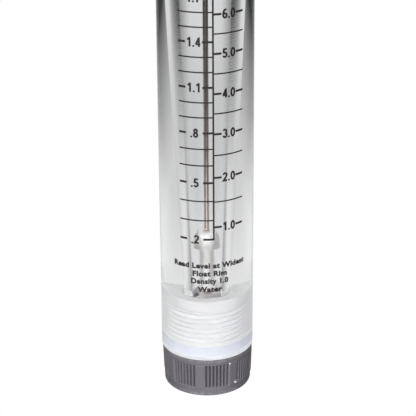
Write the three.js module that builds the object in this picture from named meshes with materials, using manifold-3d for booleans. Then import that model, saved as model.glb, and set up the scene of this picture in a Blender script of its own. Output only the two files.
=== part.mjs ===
// A clear in-line flow meter of the variable-area kind, for water in half-inch pipe.
//
// Millimetres, +Z up, the way the water flows. The origin is on the meter's axis, at the middle of
// the inlet fitting's lower face, which the meter stands on.
//
// An acrylic body has a bore that gets wider towards the top. A steel float slides on a rod in that
// bore: the more water flows, the higher the float hangs. A perforated holder carries each end of
// the rod, and a ribbed fitting, sealed by a ring, is screwed into each end of the body.

import * as THREE from 'three';
import { mergeVertices } from 'three/addons/utils/BufferGeometryUtils.js';
import Module from 'manifold-3d';

const wasm = await Module();
wasm.setup();

// ---------------------------------------------------------------------------------------------
// Driving dimensions
// ---------------------------------------------------------------------------------------------

const TOUCH_GAP = 0.3; // left between two pieces that touch

// Meter body
const BODY_DIAMETER = 31.75;
const BODY_LENGTH = 174;
const SOCKET_DIAMETER = 20.5; // over the roots of the internal thread
const SOCKET_DEPTH = 20.6; // from the end face to the shoulder that the rod holder seats on
const SHOULDER_WIDTH = 0.65; // of the narrower shoulder, at the outlet end of the bore
const FLOAT_CLEARANCE = 0.3; // round the float's head at the inlet end of the bore

// End fittings
const COLLAR_INSET = 0.375; // from the body's side
const COLLAR_DRAFT = 0.5; // radius lost towards the pipe end
const COLLAR_EDGE = 0.8; // bevel round the pipe end
const RIM_HEIGHT = 2; // smooth band next to the body
const RIB_BAND_HEIGHT = 8.6;
const SKIRT_HEIGHT = 3.4; // smooth band at the pipe end
const PANEL_COUNT = 8;
const GROOVES_PER_PANEL = 7;
const GROOVE_PITCH_DEG = 4.8;
const GROOVE_DEPTH = 0.55;
const GROOVE_FILL = 0.45; // share of the pitch that is groove
const FIRST_GROOVE_DEG = -1.6; // from the front of the meter, towards +X
const NECK_RELIEF = 0.95; // from the thread down to the neck, where the seal ring sits
const NECK_SPARE = 1.4; // neck left over beside the seal ring
const PORT_DIAMETER = 20.6; // pipe socket
const PORT_FLOOR = 2; // material between the pipe socket and the body's end face
const PORT_BEVEL = 0.6;
const PASSAGE_DIAMETER = 13;

// Seal rings
const SEAL_SECTION = 2;

// Guide rod and what is on it
const ROD_DIAMETER = 1.8;
const ROD_END = 0.8; // length that stands out of each nut
const HOLDER_THICKNESS = 3.4;
const HOLDER_RIM = 2; // ring round the flow slots
const HUB_WALL = 1.3;
const SLOT_COUNT = 3;
const SPOKE_WIDTH = 2;
const STOP_WALL = 0.6;
const STOP_HEIGHT = 1.2;
const NUT_WALL = 0.8; // between the rod's hole and a flat
const NUT_THICKNESS = 1.6;

// Float
const STEM_DIAMETER = 5.8;
const STEM_LENGTH = 15.2;
const HEAD_DIAMETER = 9.6;
const HEAD_RISE = 1; // underside of the head, a flat cone
const DOME_HEIGHT = 5.4;
const DOME_TOP_WALL = 0.9;

// Fineness of the round shapes
const SEGMENTS = 48;
const ROD_SEGMENTS = 16;
const RING_SEGMENTS = 8;
const ARC_STEPS = 6;

// ---------------------------------------------------------------------------------------------
// Sizes that follow from them
// ---------------------------------------------------------------------------------------------

const COLLAR_HEIGHT = RIM_HEIGHT + RIB_BAND_HEIGHT + SKIRT_HEIGHT;
const COLLAR_DIAMETER = BODY_DIAMETER - 2 * COLLAR_INSET;
const BODY_BOTTOM = COLLAR_HEIGHT + TOUCH_GAP;
const BODY_TOP = BODY_BOTTOM + BODY_LENGTH;
const SPIGOT_DIAMETER = SOCKET_DIAMETER - 2 * TOUCH_GAP;
const NECK_DIAMETER = SPIGOT_DIAMETER - 2 * NECK_RELIEF;
const NECK_LENGTH = SEAL_SECTION + NECK_SPARE;
const PORT_DEPTH = COLLAR_HEIGHT - PORT_FLOOR;
const MOUTH_DIAMETER = NECK_DIAMETER + 2 * (SEAL_SECTION + 2 * TOUCH_GAP);
const MOUTH_DEPTH = NECK_LENGTH + TOUCH_GAP;
const BORE_DIAMETER_INLET = HEAD_DIAMETER + 2 * FLOAT_CLEARANCE;
const BORE_DIAMETER_OUTLET = SOCKET_DIAMETER - 2 * SHOULDER_WIDTH;
const SEAL_CENTRE_RADIUS = (NECK_DIAMETER + 2 * TOUCH_GAP + SEAL_SECTION) / 2;
const HOLDER_OUTER_FACE = SOCKET_DEPTH - TOUCH_GAP - HOLDER_THICKNESS; // from the body's end face
const SPIGOT_END = HOLDER_OUTER_FACE - TOUCH_GAP;
const NUT_OUTER_FACE = HOLDER_OUTER_FACE - TOUCH_GAP - NUT_THICKNESS;
const ROD_TIP = NUT_OUTER_FACE - ROD_END;
const ROD_HOLE_DIAMETER = ROD_DIAMETER + 2 * TOUCH_GAP;
const HUB_DIAMETER = ROD_HOLE_DIAMETER + 2 * HUB_WALL;
const STOP_DIAMETER = ROD_HOLE_DIAMETER + 2 * STOP_WALL;
const NUT_ACROSS_FLATS = ROD_HOLE_DIAMETER + 2 * NUT_WALL;
const DOME_TOP_DIAMETER = ROD_HOLE_DIAMETER + 2 * DOME_TOP_WALL;
const FLOAT_BOTTOM = BODY_BOTTOM + SOCKET_DEPTH + STOP_HEIGHT + TOUCH_GAP;

// ---------------------------------------------------------------------------------------------
// Solids
// ---------------------------------------------------------------------------------------------

const point = (radius, height) => new THREE.Vector2(radius, height);

// A closed outline in the radius-height plane, listed anticlockwise, turned about Z.
function turned(outline, segments = SEGMENTS) {
  const geometry = new THREE.LatheGeometry([...outline, outline[0]], segments);
  return geometry.rotateX(Math.PI / 2);
}

// A flat shape in the XY plane, raised from one height to another.
function raised(shape, from, to) {
  const options = { depth: to - from, bevelEnabled: false, curveSegments: 2 * ARC_STEPS };
  return new THREE.ExtrudeGeometry(shape, options).translate(0, 0, from);
}

function toSolid(geometry) {
  const bare = geometry.clone();
  bare.deleteAttribute('normal');
  bare.deleteAttribute('uv');
  const merged = mergeVertices(bare, 1e-4);
  const vertProperties = new Float32Array(merged.attributes.position.array);
  const triVerts = new Uint32Array(merged.index.array);
  return new wasm.Manifold(new wasm.Mesh({ numProp: 3, vertProperties, triVerts }));
}

function toGeometry(solid) {
  const { vertProperties, triVerts } = solid.getMesh();
  const geometry = new THREE.BufferGeometry();
  geometry.setAttribute('position', new THREE.BufferAttribute(new Float32Array(vertProperties), 3));
  geometry.setIndex(new THREE.BufferAttribute(new Uint32Array(triVerts), 1));
  geometry.computeVertexNormals();
  return geometry;
}

// The points of a quarter ellipse from its equator (radius, height) to a top of its own radius.
function domePoints(radius, topRadius, height, rise) {
  const points = [];
  for (let step = 0; step <= ARC_STEPS; step += 1) {
    const angle = (step / ARC_STEPS) * (Math.PI / 2);
    const across = topRadius + (radius - topRadius) * Math.cos(angle);
    points.push(point(across, height + rise * Math.sin(angle)));
  }
  return points;
}

function meterBody() {
  const outer = BODY_DIAMETER / 2;
  const socket = SOCKET_DIAMETER / 2;
  const mouth = MOUTH_DIAMETER / 2;
  return turned([
    point(mouth, 0),
    point(outer, 0),
    point(outer, BODY_LENGTH),
    point(mouth, BODY_LENGTH),
    point(mouth, BODY_LENGTH - MOUTH_DEPTH),
    point(socket, BODY_LENGTH - MOUTH_DEPTH),
    point(socket, BODY_LENGTH - SOCKET_DEPTH),
    point(BORE_DIAMETER_OUTLET / 2, BODY_LENGTH - SOCKET_DEPTH),
    point(BORE_DIAMETER_INLET / 2, SOCKET_DEPTH),
    point(socket, SOCKET_DEPTH),
    point(socket, MOUTH_DEPTH),
    point(mouth, MOUTH_DEPTH),
  ]);
}

// The float, with its lower end at height 0.
function float() {
  const hole = ROD_HOLE_DIAMETER / 2;
  const equator = STEM_LENGTH + HEAD_RISE;
  return turned([
    point(hole, 0),
    point(STEM_DIAMETER / 2, 0),
    point(STEM_DIAMETER / 2, STEM_LENGTH),
    ...domePoints(HEAD_DIAMETER / 2, DOME_TOP_DIAMETER / 2, equator, DOME_HEIGHT),
    point(hole, equator + DOME_HEIGHT),
  ]);
}

function guideRod() {
  const length = BODY_LENGTH - 2 * ROD_TIP;
  const rod = new THREE.CylinderGeometry(ROD_DIAMETER / 2, ROD_DIAMETER / 2, length, ROD_SEGMENTS);
  return rod.rotateX(Math.PI / 2).translate(0, 0, BODY_LENGTH / 2);
}

// A sleeve or ring on the rod.
function rodSleeve(diameter, from, to) {
  const hole = ROD_HOLE_DIAMETER / 2;
  const outer = diameter / 2;
  return turned([point(hole, from), point(outer, from), point(outer, to), point(hole, to)], ROD_SEGMENTS);
}

function circlePath(diameter) {
  return new THREE.Path().absarc(0, 0, diameter / 2, 0, 2 * Math.PI, true);
}

// One flow slot: a ring sector between the hub and the rim, with a spoke left on both sides.
function flowSlot(index) {
  const inner = HUB_DIAMETER / 2;
  const outer = SPIGOT_DIAMETER / 2 - HOLDER_RIM;
  const middle = ((index + 0.5) / SLOT_COUNT) * 2 * Math.PI;
  const halfAt = (radius) => Math.PI / SLOT_COUNT - Math.asin(SPOKE_WIDTH / 2 / radius);
  const slot = new THREE.Path();
  slot.absarc(0, 0, outer, middle - halfAt(outer), middle + halfAt(outer), false);
  slot.absarc(0, 0, inner, middle + halfAt(inner), middle - halfAt(inner), true);
  slot.closePath();
  return slot;
}

// The disc that centres the rod and lets the water through.
function rodHolder() {
  const disc = new THREE.Shape().absarc(0, 0, SPIGOT_DIAMETER / 2, 0, 2 * Math.PI, false);
  disc.holes.push(circlePath(ROD_HOLE_DIAMETER));
  for (let index = 0; index < SLOT_COUNT; index += 1) {
    disc.holes.push(flowSlot(index));
  }
  return raised(disc, HOLDER_OUTER_FACE, HOLDER_OUTER_FACE + HOLDER_THICKNESS);
}

function rodNut() {
  const corner = NUT_ACROSS_FLATS / 2 / Math.cos(Math.PI / 6);
  const outline = [];
  for (let side = 0; side < 6; side += 1) {
    const angle = (side * Math.PI) / 3;
    outline.push(point(corner * Math.cos(angle), corner * Math.sin(angle)));
  }
  const hexagon = new THREE.Shape(outline);
  hexagon.holes.push(circlePath(ROD_HOLE_DIAMETER));
  return raised(hexagon, NUT_OUTER_FACE, NUT_OUTER_FACE + NUT_THICKNESS);
}

function sealRing() {
  const ring = new THREE.TorusGeometry(SEAL_CENTRE_RADIUS, SEAL_SECTION / 2, RING_SEGMENTS, SEGMENTS);
  return ring.translate(0, 0, SEAL_SECTION / 2);
}

// The outline of the ribbed band: groups of grooves, with a smooth panel between two groups.
function ribbedOutline(radius) {
  const pitch = THREE.MathUtils.degToRad(GROOVE_PITCH_DEG);
  const sector = (2 * Math.PI) / PANEL_COUNT;
  const panel = sector - (GROOVES_PER_PANEL - 1) * pitch;
  const first = THREE.MathUtils.degToRad(FIRST_GROOVE_DEG - 90);
  const outline = [];
  const place = (distance, angle) => {
    outline.push(point(distance * Math.cos(angle), distance * Math.sin(angle)));
  };
  for (let group = 0; group < PANEL_COUNT; group += 1) {
    for (let groove = 0; groove < GROOVES_PER_PANEL; groove += 1) {
      const middle = first + group * sector + groove * pitch;
      const half = (GROOVE_FILL * pitch) / 2;
      place(radius, middle - half);
      place(radius - GROOVE_DEPTH, middle - half / 2);
      place(radius - GROOVE_DEPTH, middle + half / 2);
      place(radius, middle + half);
    }
    const panelMiddle = first + (group + 1) * sector - panel / 2;
    place(radius, panelMiddle);
  }
  return new THREE.Shape(outline);
}

// The ribbed collar, its spigot and the pipe socket in it. Height 0 is the body's end face.
function endFitting() {
  const pipeEnd = -TOUCH_GAP - COLLAR_HEIGHT;
  const ribBottom = pipeEnd + SKIRT_HEIGHT;
  const ribTop = ribBottom + RIB_BAND_HEIGHT;
  const near = COLLAR_DIAMETER / 2;
  const far = near - COLLAR_DRAFT;
  const core = far - 2 * GROOVE_DEPTH;
  const neckEnd = -TOUCH_GAP + NECK_LENGTH;
  const outside = toSolid(
    turned([
      point(0, pipeEnd),
      point(far - COLLAR_EDGE, pipeEnd),
      point(far, pipeEnd + COLLAR_EDGE),
      point(far, ribBottom),
      point(core, ribBottom),
      point(core, ribTop),
      point(near, ribTop),
      point(near, -TOUCH_GAP),
      point(NECK_DIAMETER / 2, -TOUCH_GAP),
      point(NECK_DIAMETER / 2, neckEnd),
      point(SPIGOT_DIAMETER / 2, neckEnd),
      point(SPIGOT_DIAMETER / 2, SPIGOT_END),
      point(0, SPIGOT_END),
    ]),
  );
  const ribs = toSolid(raised(ribbedOutline(far), ribBottom, ribTop));
  const port = PORT_DIAMETER / 2;
  const portEnd = pipeEnd + PORT_DEPTH;
  const beyond = 1;
  const waterway = toSolid(
    turned([
      point(0, pipeEnd - beyond),
      point(port + PORT_BEVEL + beyond, pipeEnd - beyond),
      point(port, pipeEnd + PORT_BEVEL),
      point(port, portEnd),
      point(PASSAGE_DIAMETER / 2, portEnd),
      point(PASSAGE_DIAMETER / 2, SPIGOT_END + beyond),
      point(0, SPIGOT_END + beyond),
    ]),
  );
  return toGeometry(outside.add(ribs).subtract(waterway));
}

// ---------------------------------------------------------------------------------------------
// Materials
// ---------------------------------------------------------------------------------------------

function clearAcrylic() {
  const look = { color: '#eef2f4', roughness: 0.05, metalness: 0, transparent: true, opacity: 0.35 };
  return new THREE.MeshStandardMaterial(look);
}

function stainlessSteel() {
  return new THREE.MeshStandardMaterial({ color: '#c9c6c2', roughness: 0.25, metalness: 1 });
}

function greyPlastic() {
  return new THREE.MeshStandardMaterial({ color: '#757379', roughness: 0.55, metalness: 0 });
}

function whiteSilicone() {
  return new THREE.MeshStandardMaterial({ color: '#e4e9f0', roughness: 0.4, metalness: 0 });
}

// ---------------------------------------------------------------------------------------------
// Assembly
// ---------------------------------------------------------------------------------------------

function piece(name, geometry, material) {
  const mesh = new THREE.Mesh(geometry, material);
  mesh.name = name;
  return mesh;
}

// Everything at one end of the body. Height 0 is the body's end face, and + is into the body.
function bodyEnd(side) {
  const end = new THREE.Group();
  end.add(piece(`${side}_end_fitting`, endFitting(), greyPlastic()));
  end.add(piece(`${side}_seal_ring`, sealRing(), whiteSilicone()));
  end.add(piece(`${side}_rod_holder`, rodHolder(), stainlessSteel()));
  end.add(piece(`${side}_rod_nut`, rodNut(), stainlessSteel()));
  const stop = rodSleeve(STOP_DIAMETER, SOCKET_DEPTH, SOCKET_DEPTH + STOP_HEIGHT);
  end.add(piece(`${side}_float_stop`, stop, stainlessSteel()));
  return end;
}

const meter = new THREE.Group();

const body = new THREE.Group();
body.position.z = BODY_BOTTOM;
body.add(piece('meter_body', meterBody(), clearAcrylic()));
body.add(piece('guide_rod', guideRod(), stainlessSteel()));
meter.add(body);

const inlet = bodyEnd('lower');
inlet.position.z = BODY_BOTTOM;
meter.add(inlet);

const outlet = bodyEnd('upper');
outlet.rotation.x = Math.PI;
outlet.position.z = BODY_TOP;
meter.add(outlet);

const floatPiece = piece('float', float(), stainlessSteel());
floatPiece.position.z = FLOAT_BOTTOM;
meter.add(floatPiece);

export default meter;
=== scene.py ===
# %% [markdown]
# # A clear in-line flow meter
#
# The real object is an acrylic tube with a bore that widens upwards. A steel float hangs in the
# bore on a rod, and the height of its widest rim against the printed scale is the flow. This
# lesson dresses the finished engineering model: it keeps every place and size that the model
# gives, and makes the surfaces, the print, the threads and the light.

import math

import bmesh
import bpy
import numpy as np
from mathutils import Matrix, Vector


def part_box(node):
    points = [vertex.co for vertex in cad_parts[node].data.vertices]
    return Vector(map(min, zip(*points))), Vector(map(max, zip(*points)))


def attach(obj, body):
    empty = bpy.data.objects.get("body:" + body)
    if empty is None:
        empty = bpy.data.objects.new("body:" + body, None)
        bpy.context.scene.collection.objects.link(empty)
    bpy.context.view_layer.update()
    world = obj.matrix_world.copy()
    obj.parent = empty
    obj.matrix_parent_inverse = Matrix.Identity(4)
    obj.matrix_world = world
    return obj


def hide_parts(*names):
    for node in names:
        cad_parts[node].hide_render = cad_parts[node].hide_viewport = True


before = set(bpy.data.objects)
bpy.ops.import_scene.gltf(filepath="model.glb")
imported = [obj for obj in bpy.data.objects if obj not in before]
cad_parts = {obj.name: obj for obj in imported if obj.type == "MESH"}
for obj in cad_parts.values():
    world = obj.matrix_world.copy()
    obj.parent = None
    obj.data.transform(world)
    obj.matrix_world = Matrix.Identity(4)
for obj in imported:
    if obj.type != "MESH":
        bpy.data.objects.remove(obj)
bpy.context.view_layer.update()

# %% [markdown]
# ## Sizes
#
# The outside sizes and the heights are read from the model's own pieces, so that nothing here can
# drift from it. Only what a box can't tell is written down: the bore, the thread and the small
# roundings. Blender works in metres, so millimetres are multiplied by one named number.

# %% Sizes read from the model, and sizes of details
MM = 0.001

body_low, body_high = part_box("meter_body")
fitting_low, fitting_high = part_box("lower_end_fitting")

BODY_RADIUS = body_high.x
BODY_BOTTOM = body_low.z
BODY_TOP = body_high.z

BORE_RADIUS_INLET = 5.1 * MM
BORE_RADIUS_OUTLET = 9.6 * MM
SOCKET_RADIUS = 10.25 * MM
SOCKET_DEPTH = 20.6 * MM
MOUTH_RADIUS = 11.6 * MM
MOUTH_DEPTH = 3.7 * MM

PITCH = 25.4 / 14 * MM  # fourteen threads to the inch
THREAD_DEPTH = 1.25 * MM
THREAD_CLEARANCE = 0.15 * MM
THREAD_END = 16.9 * MM  # from the body's end face
THREAD_FADE = 0.6 * PITCH  # over which a thread in a socket starts and ends

print(f"body {2 * BODY_RADIUS / MM:.2f} mm across, thread pitch {PITCH / MM:.3f} mm")

# %% [markdown]
# ## The camera
#
# The meter is seen from the front and a little above, through a long lens, which keeps the tube's
# sides nearly parallel. The view is so close that the top third of the meter is outside it. A
# camera looks along its own -Z, so its three axes are worked out and put into one matrix.

# %% Put an object in the scene
def put_in_scene(name, data):
    """A new object that holds this mesh, camera, curve or lamp, at the world origin."""
    holder = bpy.data.objects.new(name, data)
    bpy.context.scene.collection.objects.link(holder)
    return holder


# %% Make the camera
CAMERA_DISTANCE = 482.8 * MM
CAMERA_HEIGHT = 272.6 * MM
CAMERA_PITCH = math.radians(23.32)
CAMERA_YAW = math.radians(0.06)
CAMERA_ROLL = math.radians(-0.333)
LENS = 134.35  # focal length in millimetres, on a sensor 36 mm wide

camera_data = bpy.data.cameras.new("camera")
camera_data.lens = LENS
camera_data.sensor_width = 36
camera_data.clip_start = 0.01
camera_data.clip_end = 20
camera = put_in_scene("camera", camera_data)
bpy.context.scene.camera = camera

forward = Vector((
    math.sin(CAMERA_YAW) * math.cos(CAMERA_PITCH),
    math.cos(CAMERA_YAW) * math.cos(CAMERA_PITCH),
    -math.sin(CAMERA_PITCH),
))
level = Vector((math.cos(CAMERA_YAW), -math.sin(CAMERA_YAW), 0))
upward = level.cross(forward)
right = math.cos(CAMERA_ROLL) * level + math.sin(CAMERA_ROLL) * upward
upward = right.cross(forward)
turn = Matrix((right, upward, -forward)).transposed()
camera.matrix_world = Matrix.Translation((0, -CAMERA_DISTANCE, CAMERA_HEIGHT)) @ turn.to_4x4()
print("camera looks down by", round(math.degrees(CAMERA_PITCH), 1), "degrees")

# %% [markdown]
# ## Surfaces from grids
#
# Nearly everything on this object was turned on a lathe, so one idea makes it all: an outline in
# the plane of radius and height, carried round the axis. Blender's Screw modifier could do that,
# but a numpy grid can also let the radius change with the angle, which threads and grip ribs
# need. Rows follow the outline and columns go round. The outline runs anticlockwise, with radius
# to the right and height up, and then every face looks outwards.

# %% Outlines with rounded corners
ARC_STEPS = 4


def rounded_outline(corners):
    """The closed outline through (radius, height, rounding, spacing) corners.

    Each corner is replaced by an arc that touches both of its sides, with one more point just
    before and after it to keep the shading tight, or stays a point where its rounding is None.
    The side that follows a corner gets points at its spacing, or at the heights that are listed
    instead. Returns radii, heights and a mask that is 1 on the arcs of outward corners.
    """
    places = np.array([corner[:2] for corner in corners], float)
    before = np.roll(places, 1, 0) - places
    after = np.roll(places, -1, 0) - places
    before /= np.linalg.norm(before, axis=1, keepdims=True)
    after /= np.linalg.norm(after, axis=1, keepdims=True)
    points, masks = [], []
    for place, back, ahead, (_, _, rounding, _) in zip(places, before, after, corners):
        if rounding is None:
            points.append(place[None, :])
            masks.append(np.zeros(1))
            continue
        half = math.acos(np.clip(back @ ahead, -1, 1)) / 2
        reach = rounding / math.tan(half)
        centre = place + (back + ahead) / np.linalg.norm(back + ahead) * rounding / math.sin(half)
        start, end = place + back * reach, place + ahead * reach
        first = math.atan2(*(start - centre)[::-1])
        sweep = math.remainder(math.atan2(*(end - centre)[::-1]) - first, 2 * math.pi)
        angles = first + sweep * np.linspace(0, 1, ARC_STEPS + 1)
        arc = centre + rounding * np.stack([np.cos(angles), np.sin(angles)], 1)
        support = 0.5 * rounding
        points.append(np.vstack([start + back * support, arc, end + ahead * support]))
        masks.append(np.full(len(points[-1]), float(sweep > 0)))
    rows, mask = [], []
    for index, (corner_points, on_edge) in enumerate(zip(points, masks)):
        rows.append(corner_points)
        mask.append(on_edge)
        start, end = corner_points[-1], points[(index + 1) % len(points)][0]
        spacing = corners[index][3]
        if isinstance(spacing, np.ndarray):
            share = (spacing - start[1]) / (end[1] - start[1])
        else:
            count = int(np.linalg.norm(end - start) / spacing) if spacing else 0
            share = np.linspace(0, 1, count + 2)[1:-1]
        rows.append(start + (end - start) * share[:, None])
        mask.append(np.zeros(len(share)))
    rows = np.vstack(rows)
    return rows[:, 0], rows[:, 1], np.concatenate(mask)


# %% Grids into meshes
def new_piece(name, points, faces, material):
    """An object whose mesh holds these points and faces as they are, at the world origin."""
    mesh = bpy.data.meshes.new(name)
    mesh.from_pydata(points.reshape(-1, 3).tolist(), [], [list(face) for face in faces])
    mesh.validate()
    piece = put_in_scene(name, mesh)
    mesh.materials.append(material)
    return piece


def smooth(piece):
    """Smooth shading. The arcs' own extra rows keep flat sides flat."""
    mesh = piece.data
    mesh.polygons.foreach_set("use_smooth", np.ones(len(mesh.polygons), bool))
    return piece


def ring_faces(rows, columns):
    """Four-sided faces of a grid whose rows and columns both close on themselves."""
    row = np.arange(rows)[:, None]
    column = np.arange(columns)[None, :]
    next_row, next_column = (row + 1) % rows, (column + 1) % columns
    return np.stack([
        row * columns + column,
        row * columns + next_column,
        next_row * columns + next_column,
        next_row * columns + column,
    ], -1).reshape(-1, 4)


def mark(piece, name, values):
    """Keeps one number per point on the mesh, for a material to read by name."""
    attribute = piece.data.attributes.new(name, "FLOAT", "POINT")
    attribute.data.foreach_set("value", np.asarray(values, np.float32).ravel())


def full_turn(columns):
    """Angles of evenly spaced columns, as one row. The first isn't repeated at the end."""
    return np.linspace(0, 2 * math.pi, columns, endpoint=False)[None, :]


def around_axis(radius, angle, height):
    """Points: x = radius x cos(angle), y = radius x sin(angle), z = height."""
    return np.stack([radius * np.cos(angle), radius * np.sin(angle), height + 0 * angle], -1)


def turned_ring(name, corners, material, columns=128):
    """A solid of revolution with a hole: each point of the outline, carried round the axis."""
    radius, height, edge = rounded_outline(corners)
    points = around_axis(radius[:, None], full_turn(columns), height[:, None])
    piece = new_piece(name, points, ring_faces(len(radius), columns), material)
    mark(piece, "edge", np.repeat(edge, columns))
    print(name, "has", len(piece.data.polygons), "faces")
    return smooth(piece)


# %% [markdown]
# ## The screw thread
#
# A pipe thread is a groove that climbs by its pitch in one turn. As a height map it needs only
# the distance along the helix, z / pitch - angle / one turn: where that is a whole number the
# surface is at the groove's root, and half-way between it is at the crest. The body's inner
# thread and the fitting's outer thread use the same formula, so they fit each other at every
# turn as the fitting is screwed out.

# %% Thread formula
def ridge(angle, height, phase=0.0):
    """0 at the root and 1 at the crest of a sixty degree thread, with small flats on both."""
    turns = height / PITCH - angle / (2 * math.pi) + phase
    triangle = 1 - np.abs(2 * (turns % 1) - 1)
    return np.clip(1.25 * triangle - 0.125, 0, 1)


def between(value, low, high, fade):
    """1 between low and high, with a soft rise and fall of the given length inside them."""
    rise = np.clip((value - low) / fade, 0, 1)
    fall = np.clip((high - value) / fade, 0, 1)
    share = rise * fall
    return share * share * (3 - 2 * share)


print("thread engages for", round((THREAD_END - MOUTH_DEPTH) / PITCH, 1), "turns")

# %% [markdown]
# ## Shared effects
#
# Some marks are on more than one material: the fine rings that a lathe tool leaves, dust, and the
# pale worn line along an edge. Each is a shader node group, built once, with its own numbers set
# wherever it is placed. A group only puts out masks and heights, and the shader itself stays in
# the material.

# %% Helpers for node groups
def new_group(name, inputs, output):
    """A shader node group with float inputs {name: default} and one float output."""
    group = bpy.data.node_groups.new(name, "ShaderNodeTree")
    for label, default in inputs.items():
        socket = group.interface.new_socket(label, in_out="INPUT", socket_type="NodeSocketFloat")
        socket.default_value = default
    group.interface.new_socket(output, in_out="OUTPUT", socket_type="NodeSocketFloat")
    start = group.nodes.new("NodeGroupInput")
    end = group.nodes.new("NodeGroupOutput")
    return group, start, end


def add(tree, kind, **values):
    """A new node, with named properties or input sockets set."""
    node = tree.nodes.new(kind)
    for key, value in values.items():
        if hasattr(node, key):
            setattr(node, key, value)
        else:
            node.inputs[key.replace("_", " ")].default_value = value
    return node


def feed(tree, socket, value):
    """Links an input to another node's output, or sets it to a plain value."""
    if isinstance(value, bpy.types.NodeSocket):
        tree.links.new(value, socket)
    else:
        socket.default_value = value


def object_place(tree):
    """The shaded point's place in its object, which is also its place in the meter."""
    return tree.nodes.new("ShaderNodeTexCoord").outputs["Object"]


def math_node(tree, operation, first, second=None):
    """A Math node on one or two sockets or numbers, returning its result socket."""
    node = tree.nodes.new("ShaderNodeMath")
    node.operation = operation
    feed(tree, node.inputs[0], first)
    if second is not None:
        feed(tree, node.inputs[1], second)
    return node.outputs[0]


def remap(tree, value, low, high):
    """0 at low and 1 at high, held between them."""
    node = tree.nodes.new("ShaderNodeMapRange")
    node.inputs["From Min"].default_value = low
    node.inputs["From Max"].default_value = high
    tree.links.new(value, node.inputs["Value"])
    return node.outputs["Result"]


# %% Tool rings: a noise that only changes with height
def make_tool_rings():
    """Noise of the height alone, so it runs round the axis as the marks of a lathe do."""
    group, start, end = new_group("tool_rings", {"Rings per mm": 8.0, "Unevenness": 0.5}, "Height")
    split = add(group, "ShaderNodeSeparateXYZ")
    group.links.new(object_place(group), split.inputs[0])
    rate = math_node(group, "MULTIPLY", start.outputs["Rings per mm"], 1 / MM)
    along = math_node(group, "MULTIPLY", split.outputs["Z"], rate)
    noise = add(group, "ShaderNodeTexNoise", noise_dimensions="1D", Scale=1.0, Detail=3.0)
    group.links.new(along, noise.inputs["W"])
    group.links.new(start.outputs["Unevenness"], noise.inputs["Roughness"])
    group.links.new(noise.outputs["Fac"], end.inputs["Height"])
    return group


# %% Dust: small soft specks in clouds
SPECKS_START, SPECKS_FULL = 0.56, 0.72  # of the fine noise
CLOUDS_START, CLOUDS_FULL = 0.35, 0.75  # of the coarse noise
CLOUDS_PER_METRE = 140.0


def make_dust():
    """Specks from a fine noise, let through only where a coarse noise is high."""
    group, start, end = new_group("dust", {"Amount": 0.3, "Speck size mm": 0.25}, "Mask")
    place = object_place(group)
    fine = add(group, "ShaderNodeTexNoise", Detail=2.0)
    rate = math_node(group, "DIVIDE", 1 / MM, start.outputs["Speck size mm"])
    group.links.new(rate, fine.inputs["Scale"])
    coarse = add(group, "ShaderNodeTexNoise", Scale=CLOUDS_PER_METRE, Detail=3.0)
    for pattern in (fine, coarse):
        group.links.new(place, pattern.inputs["Vector"])
    specks = remap(group, fine.outputs["Fac"], SPECKS_START, SPECKS_FULL)
    clouds = remap(group, coarse.outputs["Fac"], CLOUDS_START, CLOUDS_FULL)
    both = math_node(group, "MULTIPLY", specks, clouds)
    group.links.new(math_node(group, "MULTIPLY", both, start.outputs["Amount"]), end.inputs["Mask"])
    return group


# %% Edge wear: a piece's own edge mask, broken up by noise
WEAR_STARTS, WEAR_FULL = 0.38, 0.62  # of the noise that breaks up the worn line


def make_edge_wear():
    """The mesh's edge mask times a noise, so that the worn line comes and goes."""
    group, start, end = new_group("edge_wear", {"Amount": 0.6, "Break size mm": 1.5}, "Mask")
    edge = add(group, "ShaderNodeAttribute", attribute_name="edge")
    breaks = add(group, "ShaderNodeTexNoise", Detail=4.0)
    rate = math_node(group, "DIVIDE", 1 / MM, start.outputs["Break size mm"])
    group.links.new(rate, breaks.inputs["Scale"])
    group.links.new(object_place(group), breaks.inputs["Vector"])
    broken = remap(group, breaks.outputs["Fac"], WEAR_STARTS, WEAR_FULL)
    worn = math_node(group, "MULTIPLY", edge.outputs["Fac"], broken)
    group.links.new(math_node(group, "MULTIPLY", worn, start.outputs["Amount"]), end.inputs["Mask"])
    return group


tool_rings = make_tool_rings()
dust = make_dust()
edge_wear = make_edge_wear()
print("shared effects:", [group.name for group in bpy.data.node_groups])


# %% Helpers for materials
def new_material(name, base, roughness, metallic=0.0):
    """A material with a Principled shader, and its tree and shader."""
    material = bpy.data.materials.new(name)
    material.use_nodes = True
    tree = material.node_tree
    shader = tree.nodes["Principled BSDF"]
    shader.inputs["Base Color"].default_value = (*base, 1)
    shader.inputs["Roughness"].default_value = roughness
    shader.inputs["Metallic"].default_value = metallic
    return material, tree, shader


def effect(tree, group, **values):
    """Places a shared effect in a material with its own numbers, and returns its output."""
    node = tree.nodes.new("ShaderNodeGroup")
    node.node_tree = group
    for key, value in values.items():
        node.inputs[key.replace("_", " ")].default_value = value
    return node.outputs[0]


def mixed(tree, mask, low, high):
    """A number that goes from low to high with the mask."""
    node = tree.nodes.new("ShaderNodeMix")
    node.data_type = "FLOAT"
    tree.links.new(mask, node.inputs[0])
    feed(tree, node.inputs[2], low)
    feed(tree, node.inputs[3], high)
    return node.outputs[0]


def mixed_colour(tree, mask, low, high):
    """A colour that goes from low to high with the mask. Either may be a socket."""
    node = tree.nodes.new("ShaderNodeMix")
    node.data_type = "RGBA"
    tree.links.new(mask, node.inputs[0])
    for socket, value in ((node.inputs[6], low), (node.inputs[7], high)):
        feed(tree, socket, (*value, 1) if isinstance(value, tuple) else value)
    return node.outputs[2]


def shade(colour, factor):
    """The colour made darker or lighter: each of its parts x the factor."""
    return tuple(factor * part for part in colour)


def mesh_mask(tree, name):
    """A number that mark() left on the mesh."""
    return add(tree, "ShaderNodeAttribute", attribute_name=name).outputs["Fac"]


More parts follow.
